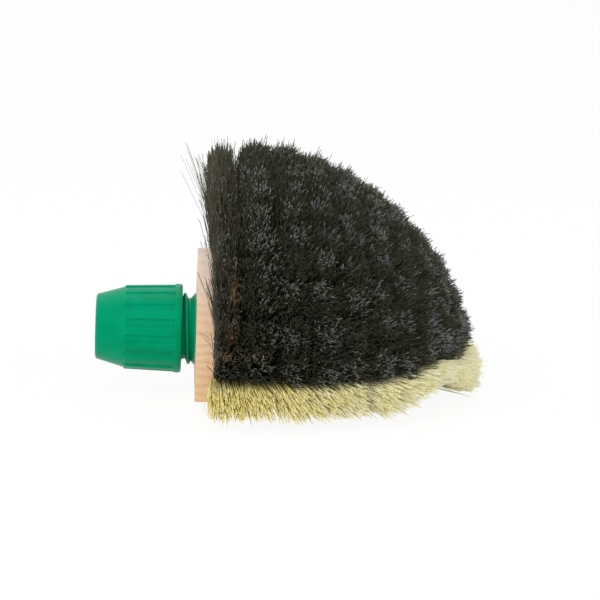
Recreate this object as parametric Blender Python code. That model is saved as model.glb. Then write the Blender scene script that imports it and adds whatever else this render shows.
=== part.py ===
# Half-round wall brush head: beech dome, rows of tufts, and a screw clamp for a pole.
# Metres. The origin is the middle of the socket's inner floor, +X runs from the pole into the
# brush, +Z is up, and the flat side of the dome faces down.

import math

import bmesh
import bpy
from mathutils import Matrix, Vector

MM = 0.001

# Clearance between faces that touch
FIT_GAP = 0.3 * MM

# Wooden block: a quarter sphere on a half-disc plate
BLOCK_RADIUS = 71.2 * MM
PLATE_DEPTH = 10.0 * MM
BLOCK_EDGE = 1.0 * MM
AXIS_HEIGHT = 28.0 * MM
BLOCK_SEGMENTS = 24

# Tufts
TUFT_HOLE = 5.8 * MM
TUFT_HOLE_DEPTH = 8.0 * MM
TUFT_HOLE_SIDES = 6
FRONT_BRISTLE = 72.4 * MM
SIDE_BRISTLE = 72.4 * MM
TOP_BRISTLE = 61.6 * MM
BACK_TRIM = 5.0 * MM
BACK_TRIM_ANGLE = math.radians(15.0)
TUFT_SPACING = 9.5 * MM
FIRST_ROW_ANGLE = math.radians(1.6)
ROW_STEPS = 12
BLACK_START_HEIGHT = 14.6 * MM
BLACK_EDGE_HEIGHT = 10.2 * MM
TUFT_SPREAD = 0.42
TIP_VALLEY = 3.0 * MM
ROW_GAP = 0.4 * MM
ROW_END_ANGLE = math.radians(0.6)
CREAM_HEIGHT = 6.4 * MM
CREAM_TIP_HEIGHT = 1.5 * MM
CREAM_GAP = 1.5 * MM

# Pole socket
POLE_BORE = 28.2 * MM
SLEEVE_WALL = 2.3 * MM
SLEEVE_LENGTH = 26.4 * MM
SOCKET_FLOOR = 3.7 * MM
FLANGE_LENGTH = 2.9 * MM
FLANGE_EDGE = 0.5 * MM
SLEEVE_SEGMENTS = 32

# Thread of the sleeve, right-handed
THREAD_LEAD = 2.6 * MM
THREAD_PITCH = 5.0 * MM
THREAD_DEPTH = 2.75 * MM
THREAD_CREST = 1.2 * MM
THREAD_BASE = 3.0 * MM
THREAD_ROOT_SINK = 0.4 * MM
THREAD_CLEARANCE = 0.4 * MM
THREAD_SEGMENTS = 24
NUT_THREAD_TURNS = 3

# Locking nut
NUT_STANDOFF = 7.5 * MM
NUT_WALL = 2.1 * MM
NUT_CONE_LENGTH = 15.3 * MM
NUT_END_ROUND = 1.6 * MM
NUT_END_RIM = 1.0 * MM
NUT_MOUTH_LIP = 2.6 * MM
NUT_MOUTH_CLEARANCE = 0.3 * MM
NUT_LIP_LENGTH = 4.3 * MM
NUT_LIP_STEP = 0.5 * MM
NUT_LIP_ROUND = 1.4 * MM
NUT_LEAD_IN = 0.7 * MM
RIB_COUNT = 16
RIB_HEIGHT = 0.85 * MM
RIB_END_SLOPE = 0.7 * MM
RIB_WALL_ANGLE = math.radians(2.0)
RIB_TURN = math.radians(2.7)
BAND_TAPER = 0.9 * MM

# Clamping collet
COLLET_LENGTH = 13.9 * MM
COLLET_TIP_WALL = 0.95 * MM
COLLET_TRAVEL = 6.6 * MM
COLLET_SLIT = 3.0 * MM
COLLET_SEGMENTS = 28

# Wood screws in the socket's floor
SCREW_COUNT = 3
SCREW_EDGE = 0.9 * MM
SCREW_HEAD_RADIUS = 3.7 * MM
SCREW_HEAD_DEPTH = 2.0 * MM
SCREW_HEAD_INSET = 0.2 * MM
SCREW_SHANK_RADIUS = 1.8 * MM
SCREW_LENGTH = 20.0 * MM
SCREW_POINT = 3.0 * MM
SCREW_SEGMENTS = 12
RECESS_WIDTH = 0.9 * MM
RECESS_SPAN = 4.0 * MM
RECESS_DEPTH = 1.3 * MM

# Places that follow from the sizes above
BLOCK_BACK = SOCKET_FLOOR + FIT_GAP
DOME_CENTRE = Vector((BLOCK_BACK + PLATE_DEPTH, 0.0, -AXIS_HEIGHT))
ROW_STEP_ANGLE = (math.pi / 2 - FIRST_ROW_ANGLE) / ROW_STEPS
TUFT_LEG = (TUFT_HOLE - 2 * FIT_GAP) / math.sqrt(2)
MERGE_RADIUS = BLOCK_RADIUS + min(FRONT_BRISTLE, SIDE_BRISTLE, TOP_BRISTLE) / 2
CREAM_RISE = math.asin(CREAM_HEIGHT / BLOCK_RADIUS)
BLACK_LEVEL = BLACK_EDGE_HEIGHT / BLOCK_RADIUS
BORE_RADIUS = POLE_BORE / 2
ROOT_RADIUS = BORE_RADIUS + SLEEVE_WALL
CREST_RADIUS = ROOT_RADIUS + THREAD_DEPTH
NUT_BORE_RADIUS = CREST_RADIUS + THREAD_CLEARANCE
COLLET_RIGHT = -SLEEVE_LENGTH - COLLET_TRAVEL
COLLET_LEFT = COLLET_RIGHT - COLLET_LENGTH
CAVITY_LEFT = COLLET_LEFT - FIT_GAP
NUT_LEFT = CAVITY_LEFT - NUT_MOUTH_LIP
NUT_RIGHT = BLOCK_BACK - NUT_STANDOFF
CONE_RADIUS = BORE_RADIUS + COLLET_TIP_WALL + FIT_GAP
SCREW_CIRCLE_RADIUS = BORE_RADIUS - SCREW_EDGE - SCREW_HEAD_RADIUS


def clear_scene():
    for obj in list(bpy.data.objects):
        bpy.data.objects.remove(obj, do_unlink=True)


def linear(channel):
    return channel / 12.92 if channel <= 0.04045 else ((channel + 0.055) / 1.055) ** 2.4


def make_material(name, colour, roughness, metallic=0.0):
    """A Principled material from an sRGB colour."""
    mat = bpy.data.materials.new(name)
    mat.use_nodes = True
    shader = mat.node_tree.nodes["Principled BSDF"]
    shader.inputs["Base Color"].default_value = [linear(c) for c in colour] + [1.0]
    shader.inputs["Roughness"].default_value = roughness
    shader.inputs["Metallic"].default_value = metallic
    return mat


def add_object(name, bm, mat, origin=(0.0, 0.0, 0.0), smooth=True):
    """Put a bmesh into the scene as one named object with its origin where it is told."""
    bmesh.ops.remove_doubles(bm, verts=bm.verts, dist=1e-7)
    bmesh.ops.recalc_face_normals(bm, faces=bm.faces)
    bmesh.ops.translate(bm, verts=bm.verts, vec=-Vector(origin))
    mesh = bpy.data.meshes.new(name)
    bm.to_mesh(mesh)
    bm.free()
    if smooth:
        mesh.shade_smooth()
        mesh.set_sharp_from_angle(angle=math.radians(35))
    mesh.materials.append(mat)
    obj = bpy.data.objects.new(name, mesh)
    obj.location = origin
    bpy.context.scene.collection.objects.link(obj)
    return obj


def add_tool(name, bm, mat):
    """A helper solid that only Booleans use."""
    tool = add_object(name, bm, mat, smooth=False)
    tool.hide_render = True
    tool.display_type = "WIRE"
    return tool


def apply_boolean(obj, tool, operation):
    modifier = obj.modifiers.new(tool.name, "BOOLEAN")
    modifier.operation = operation
    modifier.object = tool
    modifier.solver = "EXACT"


def turned(profile, segments):
    """Spin an open (x, radius) profile, whose ends lie on the X axis, into a closed solid."""
    bm = bmesh.new()
    verts = [bm.verts.new((x, 0.0, radius)) for x, radius in profile]
    edges = [bm.edges.new(pair) for pair in zip(verts, verts[1:])]
    turn = dict(cent=(0, 0, 0), axis=(1, 0, 0), angle=2 * math.pi, steps=segments)
    bmesh.ops.spin(bm, geom=verts + edges, use_merge=True, **turn)
    bmesh.ops.remove_doubles(bm, verts=bm.verts, dist=1e-7)
    return bm


def swept(profile, angle, advance, segments):
    """Turn a closed (x, radius) profile about the X axis, moving it along X by advance in all."""
    bm = bmesh.new()
    face = bm.faces.new([bm.verts.new((x, 0.0, radius)) for x, radius in profile])
    step = (advance / segments, 0.0, 0.0)
    turn = dict(cent=(0, 0, 0), axis=(1, 0, 0), angle=angle, steps=segments)
    bmesh.ops.spin(bm, geom=[face], dvec=step, **turn)
    return bm


def dome_direction(theta, phi):
    """Unit vector at theta from +X, turned by phi from -Y over the top towards +Y."""
    return Vector(
        (math.cos(theta), -math.sin(theta) * math.cos(phi), math.sin(theta) * math.sin(phi))
    )


def tip_radius(direction):
    """Distance from the dome's centre to the bristle tips, trimmed shorter along the back."""
    front = direction.x / (BLOCK_RADIUS + FRONT_BRISTLE)
    side = direction.y / (BLOCK_RADIUS + SIDE_BRISTLE)
    top = direction.z / (BLOCK_RADIUS + TOP_BRISTLE)
    trimmed = max(0.0, 1 - direction.x / math.sin(BACK_TRIM_ANGLE)) * BACK_TRIM
    return 1 / math.sqrt(front**2 + side**2 + top**2) - trimmed


def row_theta(row):
    return math.pi / 2 - FIRST_ROW_ANGLE - row * ROW_STEP_ANGLE


def row_tufts(row):
    """Angles phi of one black row's tufts, and the step between them."""
    ring_radius = BLOCK_RADIUS * math.sin(row_theta(row))
    start = math.asin(BLACK_START_HEIGHT / ring_radius)
    sweep = math.pi - 2 * start
    gaps = max(2, round(sweep * ring_radius / TUFT_SPACING))
    step = sweep / gaps
    return [start + i * step for i in range(gaps + 1)], step


def cream_tufts():
    """Angles along the flat side, from -Y round the front to +Y, one for each cream tuft."""
    angles = [FIRST_ROW_ANGLE + i * ROW_STEP_ANGLE for i in range(ROW_STEPS)]
    return angles + [math.pi / 2] + [math.pi - a for a in reversed(angles)]


def cream_direction(azimuth, rise):
    """Unit vector at an azimuth from -Y round the front, lifted by an angle from the flat side."""
    level = math.cos(rise)
    return Vector((level * math.sin(azimuth), -level * math.cos(azimuth), math.sin(rise)))


def black_rows():
    """Rows that are wide enough, above the cream tufts, to hold black ones."""
    least = BLACK_START_HEIGHT + TUFT_LEG / 2
    return [row for row in range(ROW_STEPS) if BLOCK_RADIUS * math.sin(row_theta(row)) > least]


def tuft_directions():
    black = [
        dome_direction(row_theta(row), phi) for row in black_rows() for phi in row_tufts(row)[0]
    ]
    cream = [cream_direction(azimuth, CREAM_RISE) for azimuth in cream_tufts()]
    return black + cream


def add_wooden_block(mat):
    """Half-disc plate with a quarter sphere in front, drilled for the tufts and the screws."""
    arc = [i * math.pi / 2 / (BLOCK_SEGMENTS // 2) for i in range(BLOCK_SEGMENTS // 2 + 1)]
    profile = [(-PLATE_DEPTH, 0.0), (-PLATE_DEPTH, BLOCK_RADIUS - BLOCK_EDGE)]
    profile += [(BLOCK_EDGE - PLATE_DEPTH, BLOCK_RADIUS)]
    profile += [(BLOCK_RADIUS * math.sin(a), BLOCK_RADIUS * math.cos(a)) for a in arc]
    bm = bmesh.new()
    verts = [bm.verts.new((x, -radius, 0.0)) for x, radius in profile]
    edges = [bm.edges.new(pair) for pair in zip(verts, verts[1:])]
    turn = dict(cent=(0, 0, 0), axis=(1, 0, 0), angle=-math.pi, steps=BLOCK_SEGMENTS)
    bmesh.ops.spin(bm, geom=verts + edges, **turn)
    bmesh.ops.remove_doubles(bm, verts=bm.verts, dist=1e-7)
    rim = [edge for edge in bm.edges if edge.is_boundary]
    bmesh.ops.contextual_create(bm, geom=rim)
    bmesh.ops.translate(bm, verts=bm.verts, vec=DOME_CENTRE)
    block = add_object("wooden_block", bm, mat)

    holes = bmesh.new()
    for direction in tuft_directions():
        depth = TUFT_HOLE_DEPTH + BLOCK_EDGE
        middle = DOME_CENTRE + direction * (BLOCK_RADIUS - TUFT_HOLE_DEPTH + depth / 2)
        add_prism(holes, middle, direction, TUFT_HOLE / 2, depth, TUFT_HOLE_SIDES)
    for centre in screw_centres():
        depth = SCREW_LENGTH + SCREW_HEAD_INSET + FIT_GAP
        middle = centre + Vector((depth / 2, 0.0, 0.0))
        pilot = SCREW_SHANK_RADIUS + FIT_GAP
        add_prism(holes, middle, Vector((1, 0, 0)), pilot, depth, SCREW_SEGMENTS)
    apply_boolean(block, add_tool("block_holes", holes, mat), "DIFFERENCE")


def add_prism(bm, middle, direction, flat_radius, depth, sides):
    """Add a straight prism whose flat sides lie at flat_radius from its axis."""
    radius = flat_radius / math.cos(math.pi / sides)
    turn = direction.to_track_quat("Z", "Y").to_matrix().to_4x4()
    place = Matrix.Translation(middle) @ turn
    size = dict(segments=sides, radius1=radius, radius2=radius, depth=depth)
    bmesh.ops.create_cone(bm, cap_ends=True, matrix=place, **size)


def tuft_leg(bm, direction, across, along, outer_loop):
    """Close a tuft from the four outer verts down to its square end in the drilled hole."""
    half = TUFT_LEG / 2
    signs = ((-1, -1), (1, -1), (1, 1), (-1, 1))
    previous = outer_loop
    for radius in (BLOCK_RADIUS, BLOCK_RADIUS - TUFT_HOLE_DEPTH + FIT_GAP):
        middle = DOME_CENTRE + direction * radius
        ring = [bm.verts.new(middle + half * (a * across + b * along)) for a, b in signs]
        for i in range(4):
            bm.faces.new((previous[i], previous[(i + 1) % 4], ring[(i + 1) % 4], ring[i]))
        previous = ring
    bm.faces.new(previous)


def add_black_row(row, mat):
    """One half ring of black tufts: a leg in each hole, joined where the bristles spread."""
    theta = row_theta(row)
    tufts, step = row_tufts(row)
    last = row == black_rows()[-1]
    merge_half = TUFT_SPREAD * ROW_STEP_ANGLE
    tip_half = ROW_STEP_ANGLE / 2 - ROW_GAP / 2 / MERGE_RADIUS

    def corner_theta(phi, side, half):
        if last and side < 0:
            return math.asin(BLACK_LEVEL / math.sin(phi))
        return theta + side * half

    def end_phi(side, half):
        if last:
            return math.asin(BLACK_LEVEL / math.sin(theta - merge_half / 2))
        return math.asin(BLACK_LEVEL / math.sin(theta + side * half))

    def held_phi(phi, side, half):
        first = end_phi(side, half) + ROW_END_ANGLE
        return min(max(phi, first), math.pi - first)

    def section(bm, phi_at):
        inner = [(merge_half, side) for side in (-1, 1)]
        outer = [(tip_half, side) for side in (1, 0, -1)]
        verts = []
        for half, side in inner + outer:
            phi = phi_at(side, half)
            direction = dome_direction(corner_theta(phi, side, half), phi)
            radius = MERGE_RADIUS
            if (half, side) in outer:
                radius = tip_radius(direction) - TIP_VALLEY * abs(side)
            verts.append(bm.verts.new(DOME_CENTRE + direction * radius))
        return verts

    bm = bmesh.new()
    sections = [section(bm, end_phi)]
    for phi in tufts:
        for offset in (-TUFT_SPREAD, TUFT_SPREAD):
            edge = phi + offset * step
            sections.append(section(bm, lambda side, half, p=edge: held_phi(p, side, half)))
    sections.append(section(bm, lambda side, half: math.pi - end_phi(side, half)))
    for i, (one, two) in enumerate(zip(sections, sections[1:])):
        for a, b in ((1, 2), (2, 3), (3, 4), (4, 0)):
            bm.faces.new((one[a], one[b], two[b], two[a]))
        if i % 2 == 0:
            bm.faces.new((one[0], one[1], two[1], two[0]))
            continue
        phi = tufts[i // 2]
        direction = dome_direction(theta, phi)
        across = Vector((-math.sin(theta), -math.cos(theta) * math.cos(phi), 0.0))
        across.z = math.cos(theta) * math.sin(phi)
        along = Vector((0.0, math.sin(phi), math.cos(phi)))
        tuft_leg(bm, direction, across, along, (one[0], one[1], two[1], two[0]))
    bm.faces.new(sections[0])
    bm.faces.new(sections[-1])
    add_object(f"black_row_{row + 1:02d}", bm, mat, smooth=False)


def add_cream_tuft(number, azimuth, mat):
    """One tuft of the bottom row, flared sideways to its neighbours and down near the flat side."""
    direction = cream_direction(azimuth, CREAM_RISE)
    across = Vector((math.cos(azimuth), math.sin(azimuth), 0.0))
    along = direction.cross(across).normalized()
    if along.z < 0:
        along = -along
    reach = tip_radius(direction)
    half = ROW_STEP_ANGLE / 2 - ROW_GAP / 2 / reach
    low = math.asin(CREAM_TIP_HEIGHT / reach)
    high = math.asin(BLACK_LEVEL) - CREAM_GAP / reach
    bm = bmesh.new()
    tip = []
    for side, rise in ((-1, low), (1, low), (1, high), (-1, high)):
        corner = cream_direction(azimuth + side * half, rise)
        tip.append(bm.verts.new(DOME_CENTRE + corner * tip_radius(corner)))
    bm.faces.new(tip)
    tuft_leg(bm, direction, across, along, tip)
    add_object(f"cream_tuft_{number:02d}", bm, mat, smooth=False)


def screw_centres():
    """Points in the socket's inner floor plane, one straight up and the rest spread evenly."""
    turns = [math.pi / 2 + i * 2 * math.pi / SCREW_COUNT for i in range(SCREW_COUNT)]
    return [Vector((0.0, math.cos(t), math.sin(t))) * SCREW_CIRCLE_RADIUS for t in turns]


def thread_ridge(start, turns, foot, crest, foot_width, crest_width):
    """Right-handed helical ridge whose middle starts at x = start above the axis."""
    profile = (
        (start - foot_width / 2, foot),
        (start - crest_width / 2, crest),
        (start + crest_width / 2, crest),
        (start + foot_width / 2, foot),
    )
    segments = round(turns * THREAD_SEGMENTS)
    angle = segments * 2 * math.pi / THREAD_SEGMENTS
    return swept(profile, angle, segments * THREAD_PITCH / THREAD_SEGMENTS, segments)


def sleeve_thread_start():
    return -SLEEVE_LENGTH + THREAD_LEAD + THREAD_BASE / 2 + FIT_GAP


def add_pole_socket(mat):
    """Cup for the pole's end: a flanged floor on the block and an outside-threaded sleeve."""
    profile = [(0.0, 0.0), (0.0, BORE_RADIUS), (-SLEEVE_LENGTH, BORE_RADIUS)]
    profile += [(-SLEEVE_LENGTH, ROOT_RADIUS), (SOCKET_FLOOR - FLANGE_LENGTH, ROOT_RADIUS)]
    profile += [(SOCKET_FLOOR - FLANGE_EDGE, CREST_RADIUS), (SOCKET_FLOOR, CREST_RADIUS)]
    profile += [(SOCKET_FLOOR, 0.0)]
    socket = add_object("pole_socket", turned(profile, SLEEVE_SEGMENTS), mat)

    start = sleeve_thread_start()
    turns = (SOCKET_FLOOR - THREAD_BASE / 2 - FIT_GAP - start) / THREAD_PITCH
    flank = (THREAD_BASE - THREAD_CREST) / THREAD_DEPTH
    foot_width = THREAD_BASE + flank * THREAD_ROOT_SINK
    foot = ROOT_RADIUS - THREAD_ROOT_SINK
    ridge = thread_ridge(start, turns, foot, CREST_RADIUS, foot_width, THREAD_CREST)
    apply_boolean(socket, add_tool("sleeve_thread", ridge, mat), "UNION")

    holes = bmesh.new()
    for centre in screw_centres():
        head = SCREW_HEAD_RADIUS + FIT_GAP
        shank = SCREW_SHANK_RADIUS + FIT_GAP
        seat = SCREW_HEAD_INSET + SCREW_HEAD_DEPTH
        cut = [(-FIT_GAP, 0.0), (-FIT_GAP, head), (SCREW_HEAD_INSET, head), (seat, shank)]
        cut += [(SOCKET_FLOOR + FIT_GAP, shank), (SOCKET_FLOOR + FIT_GAP, 0.0)]
        hole = turned(cut, SCREW_SEGMENTS)
        bmesh.ops.translate(hole, verts=hole.verts, vec=centre)
        mesh = bpy.data.meshes.new("floor_hole")
        hole.to_mesh(mesh)
        hole.free()
        holes.from_mesh(mesh)
        bpy.data.meshes.remove(mesh)
    apply_boolean(socket, add_tool("floor_holes", holes, mat), "DIFFERENCE")


def rib_columns():
    """Angle from +Z towards -Y and rib share of each column of verts round the nut."""
    pitch = 2 * math.pi / RIB_COUNT
    half_land = pitch / 4 - RIB_WALL_ANGLE / 2
    columns = []
    for rib in range(RIB_COUNT):
        middle = math.pi / 2 - RIB_TURN + rib * pitch
        columns += [(middle - half_land, 1.0), (middle + half_land, 1.0)]
        columns += [(middle + pitch / 2 - half_land, 0.0), (middle + pitch / 2 + half_land, 0.0)]
    return columns


def add_locking_nut(mat):
    """Long clamp nut: round nose, cone, ribbed grip and lip, with a thread and a cone inside."""
    cone_end = NUT_LEFT + NUT_CONE_LENGTH
    band_end = NUT_RIGHT - NUT_LIP_LENGTH
    nose = CONE_RADIUS + NUT_WALL + FIT_GAP
    groove = NUT_BORE_RADIUS + NUT_WALL
    groove_end = groove + BAND_TAPER
    lip = groove_end + RIB_HEIGHT + NUT_LIP_STEP
    mouth = BORE_RADIUS + NUT_MOUTH_CLEARANCE
    rim = mouth + NUT_END_RIM
    bend = math.pi / 4
    bend_x = NUT_LEFT + NUT_END_ROUND * (1 - math.cos(bend))
    rows = [
        (NUT_LEFT, rim, 0.0),
        (bend_x, rim + (nose - rim) * math.sin(bend), 0.0),
        (NUT_LEFT + NUT_END_ROUND, nose, 0.0),
        (cone_end, groove, 0.0),
        (cone_end + RIB_END_SLOPE, groove, RIB_HEIGHT),
        (band_end, groove_end, RIB_HEIGHT),
        (band_end + RIB_END_SLOPE, lip, 0.0),
        (NUT_RIGHT - NUT_LIP_ROUND, lip, 0.0),
        (NUT_RIGHT, lip - NUT_LIP_ROUND, 0.0),
        (NUT_RIGHT, NUT_BORE_RADIUS + NUT_LEAD_IN, 0.0),
        (NUT_RIGHT - NUT_LEAD_IN, NUT_BORE_RADIUS, 0.0),
        (COLLET_RIGHT, NUT_BORE_RADIUS, 0.0),
        (CAVITY_LEFT, CONE_RADIUS, 0.0),
        (CAVITY_LEFT, mouth, 0.0),
        (NUT_LEFT, mouth, 0.0),
    ]
    bm = bmesh.new()
    loops = []
    for x, radius, rib in rows:
        spots = [(angle, radius + rib * share) for angle, share in rib_columns()]
        loops.append([bm.verts.new((x, -r * math.sin(a), r * math.cos(a))) for a, r in spots])
    for one, two in zip(loops, loops[1:] + loops[:1]):
        for i in range(len(one)):
            j = (i + 1) % len(one)
            bm.faces.new((one[i], one[j], two[j], two[i]))
    nut = add_object("locking_nut", bm, mat, origin=(NUT_RIGHT, 0.0, 0.0))

    flank = (THREAD_BASE - THREAD_CREST) / THREAD_DEPTH
    crest = ROOT_RADIUS + THREAD_CLEARANCE
    crest_width = THREAD_PITCH - THREAD_BASE + (flank - 2) * THREAD_CLEARANCE
    foot = NUT_BORE_RADIUS + THREAD_ROOT_SINK
    foot_width = crest_width + flank * (foot - crest)
    latest = NUT_RIGHT - NUT_LEAD_IN - foot_width / 2 - NUT_THREAD_TURNS * THREAD_PITCH
    between = sleeve_thread_start() + THREAD_PITCH / 2
    start = between + math.floor((latest - between) / THREAD_PITCH) * THREAD_PITCH
    ridge = thread_ridge(start, NUT_THREAD_TURNS, foot, crest, foot_width, crest_width)
    apply_boolean(nut, add_tool("nut_thread", ridge, mat), "UNION")


def add_clamping_collet(mat):
    """Split tapered ring that the nut's cone closes round the pole."""
    slope = (NUT_BORE_RADIUS - CONE_RADIUS) / (COLLET_RIGHT - CAVITY_LEFT)
    tip = BORE_RADIUS + COLLET_TIP_WALL
    wide = tip + slope * COLLET_LENGTH
    profile = (
        (COLLET_LEFT, BORE_RADIUS),
        (COLLET_LEFT, tip),
        (COLLET_RIGHT, wide),
        (COLLET_RIGHT, BORE_RADIUS),
    )
    slit = COLLET_SLIT / BORE_RADIUS
    bm = swept(profile, 2 * math.pi - slit, 0.0, COLLET_SEGMENTS)
    centre_slit = Matrix.Rotation(slit / 2, 3, "X")
    bmesh.ops.rotate(bm, verts=bm.verts, cent=(0, 0, 0), matrix=centre_slit)
    add_object("clamping_collet", bm, mat, origin=(COLLET_RIGHT, 0.0, 0.0))


def add_screws(mat):
    """Countersunk wood screws with a cross recess, through the floor into the block."""
    top = SCREW_HEAD_INSET
    neck = top + SCREW_HEAD_DEPTH
    end = top + SCREW_LENGTH
    profile = [(top, 0.0), (top, SCREW_HEAD_RADIUS), (neck, SCREW_SHANK_RADIUS)]
    profile += [(end - SCREW_POINT, SCREW_SHANK_RADIUS), (end, 0.0)]
    arm = RECESS_SPAN / 2
    side = RECESS_WIDTH / 2
    quarter = [(side, side), (side, arm), (-side, arm)]
    for number, centre in enumerate(screw_centres(), 1):
        body = turned(profile, SCREW_SEGMENTS)
        bmesh.ops.translate(body, verts=body.verts, vec=centre)
        screw = add_object(f"socket_screw_{number}", body, mat, origin=centre)
        outline = bmesh.new()
        cross = []
        for i in range(4):
            turn = Matrix.Rotation(i * math.pi / 2, 3, "X")
            cross += [outline.verts.new(turn @ Vector((0.0, y, z))) for y, z in quarter]
        face = outline.faces.new(cross)
        grown = bmesh.ops.extrude_face_region(outline, geom=[face])
        moved = [item for item in grown["geom"] if isinstance(item, bmesh.types.BMVert)]
        bmesh.ops.translate(outline, verts=moved, vec=(top + RECESS_DEPTH + FIT_GAP, 0, 0))
        bmesh.ops.translate(outline, verts=outline.verts, vec=centre - Vector((FIT_GAP, 0, 0)))
        apply_boolean(screw, add_tool(f"recess_{number}", outline, mat), "DIFFERENCE")


def main():
    clear_scene()
    green = make_material("green_plastic", (0.0, 0.62, 0.44), 0.42)
    wood = make_material("beech", (0.86, 0.74, 0.60), 0.6)
    black = make_material("black_bristle", (0.10, 0.10, 0.09), 0.6)
    cream = make_material("cream_bristle", (0.88, 0.84, 0.58), 0.6)
    nylon = make_material("natural_nylon", (0.90, 0.89, 0.84), 0.5)
    steel = make_material("zinc_plated_steel", (0.75, 0.75, 0.73), 0.35, 1.0)
    add_wooden_block(wood)
    add_pole_socket(green)
    add_locking_nut(green)
    add_clamping_collet(nylon)
    add_screws(steel)
    for row in black_rows():
        add_black_row(row, black)
    for number, azimuth in enumerate(cream_tufts(), 1):
        add_cream_tuft(number, azimuth, cream)


main()
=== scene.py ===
import math

import bmesh
import bpy
import numpy as np
from mathutils import Matrix, Vector


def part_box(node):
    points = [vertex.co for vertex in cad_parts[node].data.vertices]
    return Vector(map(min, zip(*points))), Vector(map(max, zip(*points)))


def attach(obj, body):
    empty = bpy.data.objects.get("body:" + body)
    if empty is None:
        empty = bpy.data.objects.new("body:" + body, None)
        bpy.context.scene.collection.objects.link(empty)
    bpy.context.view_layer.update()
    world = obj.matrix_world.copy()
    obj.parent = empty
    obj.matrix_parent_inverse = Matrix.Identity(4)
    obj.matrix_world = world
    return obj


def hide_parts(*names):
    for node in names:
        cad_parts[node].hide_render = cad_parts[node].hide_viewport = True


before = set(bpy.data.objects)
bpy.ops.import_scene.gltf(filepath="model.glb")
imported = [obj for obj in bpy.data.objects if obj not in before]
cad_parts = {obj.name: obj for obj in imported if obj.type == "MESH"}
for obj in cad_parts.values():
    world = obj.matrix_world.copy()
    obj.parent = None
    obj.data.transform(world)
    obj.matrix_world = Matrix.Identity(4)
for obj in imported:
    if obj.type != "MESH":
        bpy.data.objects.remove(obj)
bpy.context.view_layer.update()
mm = 0.001
scene = bpy.context.scene
fullTurn = 2 * math.pi

# Places that every piece shares
layout = dict(
    plateDepth=10 * mm,              # wooden plate behind the dome
    firstRowAngle=math.radians(1.6),
    rowSteps=12,                     # steps from the first row to the front
    blackRows=11,
    creamTufts=25,
    tuftSpacing=9.5 * mm,
    blackStart=14.6 * mm,            # lowest black holes above the flat side
    blackLevel=10.2 * mm,            # where the black bristles end, at the wood
    creamHeight=6.4 * mm,
    creamTipHeight=1.5 * mm,         # lowest cream tips above the flat side
    creamGap=3.2 * mm,
    bristle=(72.4 * mm, 72.4 * mm, 61.6 * mm),   # free length in front, at the sides and on top
    backTrim=5 * mm,                 # bristles shorter along the back
    backTrimAngle=math.radians(15),
    hang=4 * mm,                     # how far cream tips may hang below the flat side
)
screwNumbers = (1, 2, 3)
blockLow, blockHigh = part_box("wooden_block")
blockRadius = blockHigh.z - blockLow.z
domeCentre = Vector((blockLow.x + layout["plateDepth"], 0.0, blockLow.z))
reach = np.array(layout["bristle"]) + blockRadius
rowStep = (math.pi / 2 - layout["firstRowAngle"]) / layout["rowSteps"]
levelRise = math.asin(layout["blackLevel"] / blockRadius)
# The first row: the slit in front of it on top, and how far it leans back there and forward below
firstRow = dict(slit=math.radians(2.3), leanBack=math.radians(0.7), leanForward=math.radians(1.8))


def addNode(tree, kind, settings=None, values=None, links=None):
    node = tree.nodes.new(kind)
    for name, value in (settings or {}).items():
        setattr(node, name, value)
    for socket, value in (values or {}).items():
        node.inputs[socket].default_value = value
    for socket, source in (links or {}).items():
        tree.links.new(source, node.inputs[socket])
    return node


def linearColour(code):
    # sRGB hex to the linear values that Blender's sockets take
    parts = [int(code[i:i + 2], 16) / 255 for i in (0, 2, 4)]
    return [c / 12.92 if c <= 0.04045 else ((c + 0.055) / 1.055) ** 2.4 for c in parts] + [1.0]


def newMaterial(name, **shaderValues):
    material = bpy.data.materials.new(name)
    material.use_nodes = True
    shader = material.node_tree.nodes["Principled BSDF"]
    for socket, value in shaderValues.items():
        shader.inputs[socket.replace("_", " ")].default_value = value
    return material, material.node_tree, shader


def blend(tree, share, low, high):
    # Colours or colour sockets mixed by share
    mix = addNode(tree, "ShaderNodeMix", dict(data_type="RGBA"))
    for slot, colour in ((6, low), (7, high)):
        if isinstance(colour, bpy.types.NodeSocket):
            tree.links.new(colour, mix.inputs[slot])
        else:
            mix.inputs[slot].default_value = colour
    tree.links.new(share, mix.inputs[0])
    return mix.outputs[2]


def ramp(tree, value, fromLow, fromHigh, toLow=0.0, toHigh=1.0):
    limits = {"From Min": fromLow, "From Max": fromHigh, "To Min": toLow, "To Max": toHigh}
    node = addNode(tree, "ShaderNodeMapRange", None, limits, {"Value": value})
    return node.outputs["Result"]


def addNoise(tree, place, scale, detail=2.0, roughness=0.5):
    values = {"Scale": scale, "Detail": detail, "Roughness": roughness}
    return addNode(tree, "ShaderNodeTexNoise", None, values, {"Vector": place}).outputs["Fac"]


def addMapping(tree, place, scale):
    return addNode(tree, "ShaderNodeMapping", None, {"Scale": scale}, {"Vector": place}).outputs["Vector"]


def addBump(tree, shader, height, strength, depth):
    values = {"Strength": strength, "Distance": depth}
    bump = addNode(tree, "ShaderNodeBump", None, values, {"Height": height})
    tree.links.new(bump.outputs["Normal"], shader.inputs["Normal"])


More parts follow.
